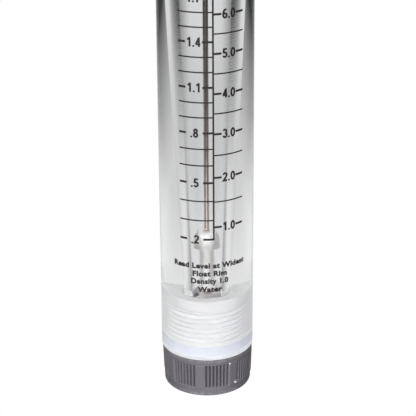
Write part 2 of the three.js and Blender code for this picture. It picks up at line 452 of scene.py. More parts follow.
def bump(tree, shader, height, distance):
    """Feeds a height, in units of the given distance in metres, to the shader's normal."""
    node = tree.nodes.new("ShaderNodeBump")
    node.inputs["Distance"].default_value = distance
    node.inputs["Strength"].default_value = 1.0
    tree.links.new(height, node.inputs["Height"])
    tree.links.new(node.outputs["Normal"], shader.inputs["Normal"])


def noise(tree, size, detail=3.0):
    """Noise in object space with features of the given size in metres."""
    node = tree.nodes.new("ShaderNodeTexNoise")
    node.inputs["Scale"].default_value = 1 / size
    node.inputs["Detail"].default_value = detail
    tree.links.new(object_place(tree), node.inputs["Vector"])
    return node.outputs["Fac"]


def stretched_noise(tree, rate, turn=(0, 0, 0)):
    """Noise whose axes are turned and then have their own rates, in features to a metre."""
    mapping = tree.nodes.new("ShaderNodeMapping")
    mapping.inputs["Rotation"].default_value = turn
    mapping.inputs["Scale"].default_value = rate
    tree.links.new(object_place(tree), mapping.inputs["Vector"])
    lines = add(tree, "ShaderNodeTexNoise", Scale=1.0, Detail=2.0)
    tree.links.new(mapping.outputs["Vector"], lines.inputs["Vector"])
    return lines.outputs["Fac"]


# %% [markdown]
# ## Clear acrylic
#
# Cast acrylic is polished outside. The bore is reamed, which leaves fine rings round it, and the
# sockets are left as drilled and tapped, so they look frosted. Two materials do this. The clear
# one is glass with an index of 1.49, and a mask on the mesh raises a ring bump in the bore. The
# frosted one scatters most of the light, as the white haze on a saw cut in acrylic does, and a
# second mask paints on it the pale blue of the seal ring as if it shone through. The blue is painted
# on the body, so it stays there when the ring moves. Light also runs along inside the thick wall
# and comes out at the frosted faces. The renderer doesn't follow that, so those faces are given a
# faint glow of their own.

# %% Acrylic
ACRYLIC_IOR = 1.49
REAMER_RING_DEPTH = 0.012 * MM
# painted: the pale blue of the seal ring, as it would show through the frosted mouth
PAINTED_SEAL_SHINE = (0.84, 0.865, 0.95)
SCATTERED_LIGHT = 0.12  # light that the clear wall carries into the frosted faces


def make_clear_acrylic():
    """Glass, rougher under specks of dust and in the bore, where the tool rings raise it."""
    material, tree, shader = new_material("clear_acrylic", (0.985, 0.99, 0.995), 0.01)
    shader.inputs["Transmission Weight"].default_value = 1.0
    shader.inputs["IOR"].default_value = ACRYLIC_IOR
    reamed = mesh_mask(tree, "reamed")
    specks = effect(tree, dust, Amount=0.05, Speck_size_mm=0.3)
    polished = mixed(tree, specks, 0.008, 0.4)
    tree.links.new(mixed(tree, reamed, polished, 0.08), shader.inputs["Roughness"])
    rings = effect(tree, tool_rings, Rings_per_mm=2.2, Unevenness=0.5)
    height = math_node(tree, "MULTIPLY", rings, reamed)
    bump(tree, shader, height, REAMER_RING_DEPTH)
    return material


def make_frosted_acrylic():
    """White haze with tool rings and the seal's blue painted in. The same tone glows faintly."""
    base = (0.96, 0.963, 0.97)
    material, tree, shader = new_material("frosted_acrylic", base, 0.5)
    shader.inputs["Transmission Weight"].default_value = 0.1
    shader.inputs["IOR"].default_value = ACRYLIC_IOR
    shader.inputs["Specular IOR Level"].default_value = 0.0
    shader.inputs["Emission Strength"].default_value = SCATTERED_LIGHT
    rings = effect(tree, tool_rings, Rings_per_mm=3.0, Unevenness=0.6)
    tone = mixed_colour(tree, rings, shade(base, 0.95), base)
    # the seal ring's pale blue, painted into the frosted mouth's colour and glow
    tone = mixed_colour(tree, mesh_mask(tree, "painted_seal_glimpse"), tone, PAINTED_SEAL_SHINE)
    tree.links.new(tone, shader.inputs["Base Color"])
    tree.links.new(tone, shader.inputs["Emission Color"])
    bump(tree, shader, rings, 0.01 * MM)
    return material


# %% [markdown]
# ## Turned stainless steel
#
# The float, the rod and its fixings are bright stainless steel. Their shine is uneven along the
# axis, because the tool went round: the same rings make a fine bump and shift the roughness. The
# rod was drawn through a die, which leaves dark streaks along it. The float and the holders also
# gather light through the clear wall, and get a faint glow that stands for it.

# %% Steel
STREAK_WIDTH = 0.45 * MM
STREAK_LENGTH = 40 * MM
STREAK_START, STREAK_FULL = 0.35, 0.65  # of the noise


def drawn_streaks(tree):
    """Lines along the axis: noise that changes slowly with height and fast across."""
    rate = (1 / STREAK_WIDTH, 1 / STREAK_WIDTH, 1 / STREAK_LENGTH)
    return remap(tree, stretched_noise(tree, rate), STREAK_START, STREAK_FULL)


def make_steel(name, base, roughness, rings_per_mm, depth, drawn=0.0, gathered=0.0):
    """Turned steel. drawn is how dark its streaks are, and gathered is how strongly it glows."""
    material, tree, shader = new_material(name, base, roughness, metallic=1.0)
    rings = effect(tree, tool_rings, Rings_per_mm=rings_per_mm, Unevenness=0.7)
    smudges = noise(tree, 2.5 * MM)
    uneven = mixed(tree, smudges, 0.75 * roughness, 1.3 * roughness)
    tree.links.new(mixed(tree, rings, uneven, 1.2 * roughness), shader.inputs["Roughness"])
    bump(tree, shader, rings, depth)
    tone = mixed_colour(tree, smudges, shade(base, 0.94), base)
    if drawn:
        tone = mixed_colour(tree, drawn_streaks(tree), shade(base, 1 - drawn), tone)
    tree.links.new(tone, shader.inputs["Base Color"])
    if gathered:
        tree.links.new(tone, shader.inputs["Emission Color"])
        shader.inputs["Emission Strength"].default_value = gathered
    return material


# %% [markdown]
# ## Grey moulded plastic
#
# The end fittings are moulded in grey PVC. It has a fine satin grain, a cloudy tone from the
# melt, pale edges where it has been handled, and a few white scuffs where a wrench or a bench has
# rubbed it. The scuffs are short streaks: a noise stretched in one direction and cut off high.
# Three larger chips have places of their own, and a mask on the mesh paints shade into the grip
# grooves: their colour is darkened where little light gets in.

# %% Grey plastic
CHIPS = [  # the centre and the reach of each
    ((7.6 * MM, -13.8 * MM, 11.7 * MM), 0.75 * MM),
    ((10.0 * MM, -12.1 * MM, 3.9 * MM), 1.2 * MM),
    ((-1.2 * MM, -15.6 * MM, 2.3 * MM), 0.5 * MM),
]


CHIP_FULL, CHIP_ENDS = 1.4, 1.55
SCUFF_START, SCUFF_FULL = 0.735, 0.78  # of the noise
SCUFF_RATE = (900, 900, 210)
SCUFF_TURN = (0.2, 0.5, 0.3)


def chip(tree, place, centre, reach):
    """A ragged patch: 1 where distance / reach + 2 x noise is under CHIP_FULL."""
    gap = tree.nodes.new("ShaderNodeVectorMath")
    gap.operation = "DISTANCE"
    tree.links.new(place, gap.inputs[0])
    gap.inputs[1].default_value = centre
    share = math_node(tree, "DIVIDE", gap.outputs["Value"], reach)
    torn = math_node(tree, "MULTIPLY", noise(tree, 0.6 * MM, detail=2), 2.0)
    ragged = math_node(tree, "ADD", share, torn)
    return math_node(tree, "SUBTRACT", 1.0, remap(tree, ragged, CHIP_FULL, CHIP_ENDS))


def make_grey_plastic():
    """Cloudy grey, worn edges, painted shade in the grooves, white scuffs and chips, dust, grain."""
    base = (0.092, 0.087, 0.099)
    pale = (0.26, 0.25, 0.27)
    material, tree, shader = new_material("grey_pvc", base, 0.5)
    shader.inputs["Specular IOR Level"].default_value = 0.3
    clouds = noise(tree, 6 * MM, detail=4)
    tone = mixed_colour(tree, clouds, shade(base, 0.95), shade(base, 1.05))
    worn = effect(tree, edge_wear, Amount=0.35, Break_size_mm=1.2)
    tone = mixed_colour(tree, worn, tone, pale)
    # painted shade: the colour is darkened in the grip grooves, where little light gets in
    tone = mixed_colour(tree, mesh_mask(tree, "painted_groove_shade"), tone, shade(base, 0.45))
    scuffs = remap(tree, stretched_noise(tree, SCUFF_RATE, SCUFF_TURN), SCUFF_START, SCUFF_FULL)
    for spot in CHIPS:
        scuffs = math_node(tree, "MAXIMUM", scuffs, chip(tree, object_place(tree), *spot))
    tone = mixed_colour(tree, scuffs, tone, (0.75, 0.75, 0.78))
    specks = effect(tree, dust, Amount=0.12, Speck_size_mm=0.15)
    tone = mixed_colour(tree, specks, tone, (0.5, 0.5, 0.5))
    tree.links.new(tone, shader.inputs["Base Color"])
    grain = noise(tree, 0.12 * MM, detail=2)
    tree.links.new(mixed(tree, grain, 0.42, 0.58), shader.inputs["Roughness"])
    bump(tree, shader, grain, 0.005 * MM)
    return material


# %% [markdown]
# ## Ink and silicone
#
# The scale is screen printed in black. The print is a little uneven, with a soft sheen. The seal
# rings are pale translucent silicone, which light goes into, so they have some subsurface
# scattering.

# %% Ink and silicone
def make_ink():
    """Black ink whose tone and sheen change a little in patches."""
    material, tree, shader = new_material("black_ink", (0.006, 0.005, 0.005), 0.35)
    patches = noise(tree, 0.6 * MM, detail=3)
    tone = mixed_colour(tree, patches, (0.004, 0.003, 0.003), (0.016, 0.012, 0.011))
    tree.links.new(tone, shader.inputs["Base Color"])
    tree.links.new(mixed(tree, patches, 0.3, 0.5), shader.inputs["Roughness"])
    return material


def make_silicone():
    """Pale blue silicone that light goes into, with specks of dust and an uneven skin."""
    base = (0.72, 0.77, 0.86)
    material, tree, shader = new_material("pale_silicone", base, 0.35)
    shader.inputs["Subsurface Weight"].default_value = 0.4
    shader.inputs["Subsurface Radius"].default_value = (1.0, 1.0, 1.0)
    shader.inputs["Subsurface Scale"].default_value = 0.8 * MM
    specks = effect(tree, dust, Amount=0.3, Speck_size_mm=0.2)
    tone = mixed_colour(tree, specks, base, (0.6, 0.62, 0.66))
    tree.links.new(tone, shader.inputs["Base Color"])
    skin = noise(tree, 0.5 * MM)
    tree.links.new(mixed(tree, skin, 0.28, 0.42), shader.inputs["Roughness"])
    bump(tree, shader, skin, 0.01 * MM)
    return material


# %% Make the materials
clear_acrylic = make_clear_acrylic()
frosted_acrylic = make_frosted_acrylic()
float_steel = make_steel("float_steel", (0.95, 0.935, 0.92), 0.38, 6.0, 0.004 * MM, gathered=0.18)
rod_steel = make_steel("rod_steel", (0.92, 0.82, 0.77), 0.14, 12.0, 0.003 * MM, drawn=0.65)
plate_steel = make_steel("plate_steel", (0.92, 0.91, 0.90), 0.5, 5.0, 0.004 * MM, gathered=0.12)
grey_plastic = make_grey_plastic()
ink = make_ink()
silicone = make_silicone()
print("materials:", [material.name for material in bpy.data.materials])

# %% [markdown]
# ## The acrylic body
#
# The body is one solid ring of revolution: its outline goes up the outside, in over the outlet's
# end face, down through mouth, socket, bore and the inlet's socket, and back out. Only the two
# sockets aren't round: there the ridge formula pushes the wall inwards. Rows are close together
# in the threads and far apart on straight walls. The end faces, mouths and sockets were cut and
# not polished, so their faces take the frosted material, and masks mark the reamed bore and the
# stretch where the seal ring's pale blue is painted on, as if it shone through.

# %% Body
THREAD_ROW = PITCH / 12
SMALL_EDGE = 0.12 * MM
SEAL_SEEN_FROM = 0.2 * MM  # from the body's end face
COLUMNS = 192

body_corners = [
    (BODY_RADIUS, BODY_BOTTOM, 0.4 * MM, 8 * MM),
    (BODY_RADIUS, BODY_TOP, 0.4 * MM, None),
    (MOUTH_RADIUS, BODY_TOP, 0.35 * MM, None),
    (MOUTH_RADIUS, BODY_TOP - MOUTH_DEPTH, SMALL_EDGE, None),
    (SOCKET_RADIUS, BODY_TOP - MOUTH_DEPTH, SMALL_EDGE, THREAD_ROW),
    (SOCKET_RADIUS, BODY_TOP - SOCKET_DEPTH, SMALL_EDGE, None),
    (BORE_RADIUS_OUTLET, BODY_TOP - SOCKET_DEPTH, SMALL_EDGE, 4 * MM),
    (BORE_RADIUS_INLET, BODY_BOTTOM + SOCKET_DEPTH, SMALL_EDGE, None),
    (SOCKET_RADIUS, BODY_BOTTOM + SOCKET_DEPTH, SMALL_EDGE, THREAD_ROW),
    (SOCKET_RADIUS, BODY_BOTTOM + MOUTH_DEPTH, SMALL_EDGE, None),
    (MOUTH_RADIUS, BODY_BOTTOM + MOUTH_DEPTH, SMALL_EDGE, None),
    (MOUTH_RADIUS, BODY_BOTTOM, 0.35 * MM, None),
]


def make_body():
    """Body: radius = outline - thread depth x ridge inside the sockets, at every angle."""
    radius, height, edge = rounded_outline(body_corners)
    radius, height = radius[:, None], height[:, None]
    angle = full_turn(COLUMNS)
    depth = np.minimum(height - BODY_BOTTOM, BODY_TOP - height)
    in_socket = (radius < SOCKET_RADIUS + SMALL_EDGE) & (depth < SOCKET_DEPTH)
    threaded = in_socket * between(depth, MOUTH_DEPTH, THREAD_END, THREAD_FADE)
    wall = radius - THREAD_DEPTH * ridge(angle, height) * threaded
    points = around_axis(wall, angle, height)
    piece = new_piece("acrylic_body", points, ring_faces(len(radius), COLUMNS), clear_acrylic)
    piece.data.materials.append(frosted_acrylic)
    outside = radius > BODY_RADIUS - SMALL_EDGE
    frosted = ~outside & (depth <= SOCKET_DEPTH)
    row_slot = (frosted & np.roll(frosted, -1, 0))[:, 0].astype(np.int32)
    # painted glimpse: the frosted mouth rows where the seal ring's pale blue is painted on
    painted_seal_glimpse = frosted & (depth > SEAL_SEEN_FROM) & (depth < MOUTH_DEPTH)
    piece.data.polygons.foreach_set("material_index", np.repeat(row_slot, COLUMNS))
    mark(piece, "reamed", np.repeat((~outside & (depth > SOCKET_DEPTH))[:, 0], COLUMNS))
    mark(piece, "painted_seal_glimpse", np.repeat(painted_seal_glimpse[:, 0], COLUMNS))
    mark(piece, "edge", np.repeat(edge, COLUMNS))
    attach(piece, "meter")
    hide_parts("meter_body")
    print("acrylic body has", len(piece.data.polygons), "faces")
    return smooth(piece)


make_body()

# %% [markdown]
# ## The printed scale
#
# The scale is printed on the tube. A decal texture could carry it, but then the marks would be as
# coarse as their picture. Here all marks and figures are laid out flat, as on the printing
# screen, in a sheet whose width is measured along the tube's side. The sheet is cut into narrow
# strips, and each point is then wrapped round the tube: its angle is its distance across divided
# by the tube's radius. The ink is a film of real thickness that keys into the surface a little.

# %% Wrap flat print on the tube
INK_ABOVE = 0.035 * MM
INK_BELOW = 0.015 * MM
STRIP = 0.5 * MM


def arc(degrees):
    """Distance along the tube's side for an angle from the front, towards +X."""
    return math.radians(degrees) * BODY_RADIUS


def add_bar(sheet, left, right, low, high):
    """A printed bar, as a box of unit thickness in the flat sheet."""
    place = Matrix.Translation(((left + right) / 2, (low + high) / 2, 0))
    size = Matrix.Diagonal((right - left, high - low, 1, 1))
    bmesh.ops.create_cube(sheet, size=1, matrix=place @ size)


TYPE_WEIGHT = 0.048
TYPE_SPACING = 1.07


def type_mesh(words):
    """A line of type as a closed flat solid one unit thick, with its lower left corner at 0."""
    curve = bpy.data.curves.new("type", "FONT")
    curve.body = words
    curve.extrude = 0.5
    curve.offset = TYPE_WEIGHT
    curve.space_character = TYPE_SPACING
    curve.resolution_u = 3
    holder = put_in_scene("type", curve)
    shown = holder.evaluated_get(bpy.context.evaluated_depsgraph_get())
    mesh = bpy.data.meshes.new_from_object(shown)
    bpy.data.objects.remove(holder)
    bpy.data.curves.remove(curve)
    return mesh


def mesh_points(mesh):
    """The mesh's points as an array with a row for each."""
    points = np.empty(len(mesh.vertices) * 3)
    mesh.vertices.foreach_get("co", points)
    return points.reshape(-1, 3)


def add_words(sheet, words, height, stretch, centre, baseline):
    """A line of type of the given capital height, centred across, with its feet on baseline."""
    mesh = type_mesh(words)
    points = mesh_points(mesh)
    middle = (points[:, 0].min() + points[:, 0].max()) / 2
    scale = height / CAPITAL_HEIGHT
    place = Matrix.Translation((centre, baseline, 0))
    size = Matrix.Diagonal((scale * stretch, scale, 1, 1))
    mesh.transform(place @ size @ Matrix.Translation((-middle, 0, 0)))
    sheet.from_mesh(mesh)
    bpy.data.meshes.remove(mesh)


def wrap_print(name, sheet):
    """Strips of the flat sheet wrapped: angle = distance across / radius, from the front."""
    bmesh.ops.remove_doubles(sheet, verts=sheet.verts, dist=1e-7)
    across = [vertex.co.x for vertex in sheet.verts]
    for cut in np.arange(min(across) + STRIP, max(across), STRIP):
        parts = [*sheet.verts, *sheet.edges, *sheet.faces]
        bmesh.ops.bisect_plane(sheet, geom=parts, dist=1e-8, plane_co=(cut, 0, 0), plane_no=(1, 0, 0))
    bmesh.ops.recalc_face_normals(sheet, faces=sheet.faces)
    mesh = bpy.data.meshes.new(name)
    sheet.to_mesh(mesh)
    sheet.free()
    flat = mesh_points(mesh)
    angle = flat[:, 0] / BODY_RADIUS - math.pi / 2
    radius = BODY_RADIUS + np.where(flat[:, 2] > 0, INK_ABOVE, -INK_BELOW)
    points = around_axis(radius, angle, flat[:, 1])
    mesh.vertices.foreach_set("co", points.ravel())
    mesh.materials.append(ink)
    piece = put_in_scene(name, mesh)
    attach(piece, "meter")
    print(name, "has", len(mesh.polygons), "faces")
    return piece


CAPITAL_HEIGHT = mesh_points(type_mesh("H"))[:, 1].max()
print("a capital is", round(CAPITAL_HEIGHT, 3), "of the type size")

# %% [markdown]
# ## Figures
#
# A scale's figures are narrow, bold and all of one stroke width, which Blender's own type isn't.
# They are drawn here as an engraver does: each figure is one or more centre lines made of
# straight stretches and parts of ellipses, and a pen of constant width follows them. At each
# point the pen's edge lies on the mitre between the two stretches that meet there.

# %% Pen strokes
PEN = 0.205  # stroke width, as a share of the figure's height
FIGURE_WIDTH = 0.56
FIGURE_GAP = 0.075
SAME_POINT = 0.001  # a stroke whose ends are nearer than this is closed


def bow(centre_x, centre_y, reach_x, reach_y, start, end, steps=14):
    """Part of an ellipse, from one angle to another in degrees."""
    t = np.radians(np.linspace(start, end, steps))
    return np.stack([centre_x + reach_x * np.cos(t), centre_y + reach_y * np.sin(t)], 1)


def line(*places):
    """A straight stretch from point to point."""
    return np.array(places, float)


STROKES = {
    "0": [bow(0.28, 0.5, 0.19, 0.412, 0, 360, 29)],
    "1": [line((0.33, 0), (0.33, 1)), line((0.07, 0.735), (0.21, 0.79), (0.31, 0.94))],
    "2": [np.vstack([bow(0.28, 0.70, 0.185, 0.212, 175, -28), line((0.1, 0.0875), (0.51, 0.0875))])],
    "3": [bow(0.27, 0.715, 0.17, 0.197, 165, -90), bow(0.27, 0.302, 0.195, 0.215, 90, -165)],
    "4": [line((0.385, 0), (0.385, 1)), line((0.375, 0.93), (0.075, 0.29)),
          line((0.03, 0.28), (0.54, 0.28))],
    "5": [line((0.49, 0.9125), (0.155, 0.9125), (0.115, 0.47)),
          bow(0.27, 0.325, 0.195, 0.237, 140, -160)],
    "6": [bow(0.285, 0.305, 0.185, 0.217, 0, 360, 25), bow(0.33, 0.45, 0.235, 0.462, 190, 62)],
    "7": [np.vstack([line((0.05, 0.9125), (0.47, 0.9125)), bow(0.85, 0.0, 0.62, 0.75, 132, 180, 8)])],
    "8": [bow(0.28, 0.735, 0.15, 0.177, 0, 360, 25), bow(0.28, 0.297, 0.185, 0.21, 0, 360, 25)],
    ".": [line((0.0875, 0), (0.0875, 0.175))],
}


def mitres(path):
    """At each point the sum of both stretches' normals / (1 + their dot product).

    Returns the path, its mitres, and whether it is closed, when its last point is left out.
    """
    closed = np.linalg.norm(path[0] - path[-1]) < SAME_POINT
    path = path[:-1] if closed else path
    ahead = np.roll(path, -1, 0) - path
    ahead /= np.linalg.norm(ahead, axis=1, keepdims=True)
    behind = np.roll(ahead, 1, 0)
    if not closed:
        ahead[-1], behind[0] = behind[-1], ahead[0]
    side_a = np.stack([-ahead[:, 1], ahead[:, 0]], 1)
    side_b = np.stack([-behind[:, 1], behind[:, 0]], 1)
    mitre = (side_a + side_b) / (1 + np.sum(side_a * side_b, 1, keepdims=True))
    return path, mitre, closed


def add_figures(sheet, words, height, centre, baseline):
    """Figures centred across, with their feet on the baseline.

    A stroke's sides are its path +- half the pen's width x the mitre, in two layers.
    """
    start = 0.0
    strokes = []
    for letter in words:
        strokes += [path + (start, 0) for path in STROKES[letter]]
        start += (PEN if letter == "." else FIGURE_WIDTH) + FIGURE_GAP
    middle = (start - FIGURE_GAP) / 2
    for stroke in strokes:
        path, mitre, closed = mitres(stroke)
        left, right = path + mitre * PEN / 2, path - mitre * PEN / 2
        ring = np.stack([left, right, right, left], 1)
        layer = np.broadcast_to([-0.5, -0.5, 0.5, 0.5], ring.shape[:2])
        points = np.concatenate([(ring - (middle, 0)) * height + (centre, baseline),
                                 layer[..., None]], -1)
        faces = ring_faces(len(path), 4)
        if not closed:
            last = 4 * (len(path) - 1)
            faces = [*faces[:last], [0, 1, 2, 3], [last + 3, last + 2, last + 1, last]]
        mesh = bpy.data.meshes.new("stroke")
        mesh.from_pydata(points.reshape(-1, 3).tolist(), [], [list(face) for face in faces])
        sheet.from_mesh(mesh)
        bpy.data.meshes.remove(mesh)


# %% [markdown]
# ## Where the marks go
#
# The float rises by less and less for each step of flow, so the heights are read off a curve
# through the seven numbered marks. The left side is in gallons a minute and the right side in
# litres a minute, at 3.785 litres to a gallon. Numbered marks are thick and leave room for their
# figures, and the others are thin.

# %% Scale
SCALE_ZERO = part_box("float")[0].z + 23.5 * MM  # the lowest mark
NUMBERED_FLOWS = [0.2, 0.5, 0.8, 1.1, 1.4, 1.7, 2.0]
NUMBERED_HEIGHTS = np.array([0, 20.18, 37.45, 52.86, 67.90, 82.3, 96.5]) * MM
LITRES_PER_GALLON = 3.785
FIGURE_HEIGHT = 3.1 * MM
THIN, THICK = 0.46 * MM, 0.72 * MM
LINE_LEFT, LINE_RIGHT = arc(7.45), arc(9.55)
# Where marks and figures are, in degrees from the front. A split mark leaves room for its figure.
GALLON_MARK, GALLON_SPLIT, GALLON_FIGURES = [(-33, 7.6)], [(-33, -24), (-4, 7.6)], -13.8
LITRE_MARK, LITRE_SPLIT, LITRE_FIGURES = [(9.4, 47.6)], [(9.4, 18.4), (36.9, 47.6)], 27.8
HEADING_HEIGHT, HEADING_RISE, HEADING_STRETCH = 2.6 * MM, 4 * MM, 0.9
LITRE_HEADING = 30


def mark_height(gallons):
    """Height of a flow's mark: a cubic spline through the numbered marks, by finite slopes."""
    slopes = np.gradient(NUMBERED_HEIGHTS, NUMBERED_FLOWS)
    step = NUMBERED_FLOWS[1] - NUMBERED_FLOWS[0]
    index = min(int((gallons - NUMBERED_FLOWS[0]) / step + 1e-6), len(NUMBERED_FLOWS) - 2)
    t = (gallons - NUMBERED_FLOWS[index]) / step
    low, high = NUMBERED_HEIGHTS[index], NUMBERED_HEIGHTS[index + 1]
    rise = low + (high - low) * t * t * (3 - 2 * t)
    rise += step * t * (1 - t) * ((1 - t) * slopes[index] - t * slopes[index + 1])
    return SCALE_ZERO + rise


def add_mark(sheet, height, thickness, pieces):
    """One mark, as bars between pairs of angles."""
    for left, right in pieces:
        add_bar(sheet, arc(left), arc(right), height - thickness / 2, height + thickness / 2)


def add_column(sheet, flows, per_gallon, numbered, plain, split, figures_at):
    """One side's marks: thick with a figure at the numbered flows, and thin at the others."""
    for flow in flows:
        height = mark_height(flow / per_gallon)
        if flow in numbered:
            add_mark(sheet, height, THICK, split)
            words = f"{flow:.1f}".lstrip("0")
            add_figures(sheet, words, FIGURE_HEIGHT, arc(figures_at), height - FIGURE_HEIGHT / 2)
        else:
            add_mark(sheet, height, THIN, plain)


def make_scale():
    """The line between both sides, the marks from 0.2 gallons and from 1 litre, and headings."""
    sheet = bmesh.new()
    top = mark_height(NUMBERED_FLOWS[-1])
    add_bar(sheet, LINE_LEFT, LINE_RIGHT, SCALE_ZERO - THICK / 2, top + THICK / 2)
    gallons = [tenth / 10 for tenth in range(2, 21)]
    litres = [half / 2 for half in range(2, 16)]
    add_column(sheet, gallons, 1, NUMBERED_FLOWS, GALLON_MARK, GALLON_SPLIT, GALLON_FIGURES)
    add_column(sheet, litres, LITRES_PER_GALLON, range(1, 8), LITRE_MARK, LITRE_SPLIT, LITRE_FIGURES)
    for words, middle in (("GPM", GALLON_FIGURES), ("LPM", LITRE_HEADING)):
        add_words(sheet, words, HEADING_HEIGHT, HEADING_STRETCH, arc(middle), top + HEADING_RISE)
    return wrap_print("printed_scale", sheet)


# %% Reading note
NOTE_HEIGHT = 1.9 * MM
NOTE_LINES = [  # words, height from the lowest mark in mm, stretch, and middle in degrees
    ("Read Level at Widest", -10.5, 1.06, 4.0),
    ("Float Rim", -13.4, 1.1, 3.6),
    ("Density 1.0", -16.2, 1.0, 3.6),
    ("Water", -19.2, 1.1, 3.6),
]


def make_note():
    """The four centred lines under the scale."""
    sheet = bmesh.new()
    for words, baseline, stretch, centre in NOTE_LINES:
        add_words(sheet, words, NOTE_HEIGHT, stretch, arc(centre), SCALE_ZERO + baseline * MM)
    return wrap_print("printed_note", sheet)


make_scale()
make_note()

# %% [markdown]
# ## The float
#
# The float is one turned piece of steel with a hole for the rod: a plain stem, a short cone and a
# dome. Its widest rim, where cone and dome meet, is what the scale is read against, so that
# edge stays crisp. The dome is a quarter ellipse, and its points are worked out as one array.

# %% Float
FLOAT_HOLE = 1.2 * MM
STEM_RADIUS = 2.9 * MM
HEAD_RISE = 1.0 * MM
DOME_HEIGHT = 5.4 * MM
DOME_TOP_RADIUS = 2.1 * MM


def dome_corners(rim, equator):
    """Plain points of a quarter ellipse: radius = top + rest x cos(t), height = rise x sin(t)."""
    t = np.linspace(0, math.pi / 2, 20)[1:-1]
    radii = DOME_TOP_RADIUS + (rim - DOME_TOP_RADIUS) * np.cos(t)
    heights = equator + DOME_HEIGHT * np.sin(t)
    return [(radius, height, None, None) for radius, height in zip(radii, heights)]


def make_float():
    """The outline of stem, cone and dome, turned about the axis."""
    low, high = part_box("float")
    equator = high.z - DOME_HEIGHT
    corners = [
        (FLOAT_HOLE, low.z, 0.15 * MM, None),
        (STEM_RADIUS, low.z, 0.35 * MM, 3 * MM),
        (STEM_RADIUS, equator - HEAD_RISE, 0.25 * MM, None),
        (high.x, equator, 0.1 * MM, None),
        *dome_corners(high.x, equator),
        (DOME_TOP_RADIUS, high.z, None, None),
        (FLOAT_HOLE, high.z, 0.15 * MM, 3 * MM),
    ]
    piece = turned_ring("steel_float", corners, float_steel)
    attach(piece, "float")
    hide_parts("float")
    return piece


make_float()

# %% [markdown]
# ## The guide rod
#
# The rod is drawn steel with rounded ends. It reaches the axis, so its ends close in one point
# each: the rows between are a grid, and a fan of triangles joins the last row to the point.

# %% Rod
ROD_TIP_ROUNDING = 0.35 * MM
ROD_ROW = 6 * MM
ROD_COLUMNS = 48


def rod_profile(radius, low, high):
    """Rows of the rod: a quarter circle, straight rows, and a quarter circle."""
    turn = np.linspace(0, math.pi / 2, 6)
    rounding = ROD_TIP_ROUNDING
    tip_radius = radius - rounding + rounding * np.sin(turn)
    tip_height = rounding * (1 - np.cos(turn))
    straight = np.arange(low + 2 * rounding, high - 2 * rounding, ROD_ROW)
    radii = np.concatenate([tip_radius, np.full(len(straight), radius), tip_radius[::-1]])
    heights = np.concatenate([low + tip_height, straight, high - tip_height[::-1]])
    return radii, heights


def make_rod():
    """The rod's rows carried round the axis, and a fan of triangles to the point at each end."""
    low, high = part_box("guide_rod")
    radii, heights = rod_profile(high.x, low.z, high.z)
    side = around_axis(radii[:, None], full_turn(ROD_COLUMNS), heights[:, None])
    rows = len(radii)
    points = np.vstack([side.reshape(-1, 3), (0, 0, low.z), (0, 0, high.z)])
    around = np.arange(ROD_COLUMNS)
    ahead = (around + 1) % ROD_COLUMNS
    first, last = rows * ROD_COLUMNS, rows * ROD_COLUMNS + 1
    top = (rows - 1) * ROD_COLUMNS
    bottom_fan = np.stack([ahead, around, np.full(ROD_COLUMNS, first)], 1)
    top_fan = np.stack([top + around, top + ahead, np.full(ROD_COLUMNS, last)], 1)
    walls = ring_faces(rows, ROD_COLUMNS)[: (rows - 1) * ROD_COLUMNS]
    faces = [*walls, *bottom_fan, *top_fan]
    piece = new_piece("steel_rod", points, faces, rod_steel)
    mark(piece, "edge", np.zeros(len(points)))
    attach(piece, "meter")
    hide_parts("guide_rod")
    print("the rod has", len(piece.data.polygons), "faces")
    return smooth(piece)


make_rod()

# %% [markdown]
# ## Stops and seal rings
#
# Both ends of the body hold the same pieces, so each is made in a loop over the two sides. A
# seal ring is a torus with the fine parting line that its mould leaves outside and inside: the
# section's radius is a circle plus a narrow bell where the two halves of the mould met.

# %% Stops and seals
SEAL_SECTION_RADIUS = 1.0 * MM
FLASH_HEIGHT = 0.03 * MM
FLASH_WIDTH = 0.12  # as the sine of the angle from the parting line
SEAL_ROWS, SEAL_COLUMNS = 40, 144


def make_stop(side):
    """A short sleeve on the rod, with the same hole as the float."""
    low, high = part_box(f"{side}_float_stop")
    corners = [
        (FLOAT_HOLE, low.z, 0.1 * MM, None),
        (high.x, low.z, 0.15 * MM, None),
        (high.x, high.z, 0.25 * MM, None),
        (FLOAT_HOLE, high.z, 0.15 * MM, None),
    ]
    piece = turned_ring(f"{side}_stop_ring", corners, rod_steel, 64)
    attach(piece, "meter")
    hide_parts(f"{side}_float_stop")


def make_seal(side):
    """Seal: radius = centre + section x cos, height = middle + section x sin, with a flash."""
    low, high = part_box(f"{side}_seal_ring")
    centre = high.x - SEAL_SECTION_RADIUS
    middle = (low.z + high.z) / 2
    section, angle = full_turn(SEAL_ROWS).T, full_turn(SEAL_COLUMNS)
    flash = FLASH_HEIGHT * np.exp(-((np.sin(section) / FLASH_WIDTH) ** 2))
    reach = SEAL_SECTION_RADIUS - FLASH_HEIGHT + flash
    points = around_axis(centre + reach * np.cos(section), angle, middle + reach * np.sin(section))
    faces = ring_faces(SEAL_ROWS, SEAL_COLUMNS)
    piece = new_piece(f"{side}_silicone_ring", points, faces, silicone)
    mark(piece, "edge", np.zeros(SEAL_ROWS * SEAL_COLUMNS))
    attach(piece, f"{side}_seal")
    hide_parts(f"{side}_seal_ring")
    print(piece.name, "has", len(piece.data.polygons), "faces")
    smooth(piece)


for side in ("lower", "upper"):
    make_stop(side)
    make_seal(side)

# %% [markdown]
# ## Rod holders and nuts
#
# The perforated holders and the nuts already have the right shape in the engineering model, but
# with knife edges. A copy is merged into one skin, its flat faces are joined again, and a Bevel
# modifier rounds every edge, as tumbling does on the real pieces.

# %% Holders and nuts
SHARP_ANGLE = math.radians(35)  # edges that bend by more are rounded


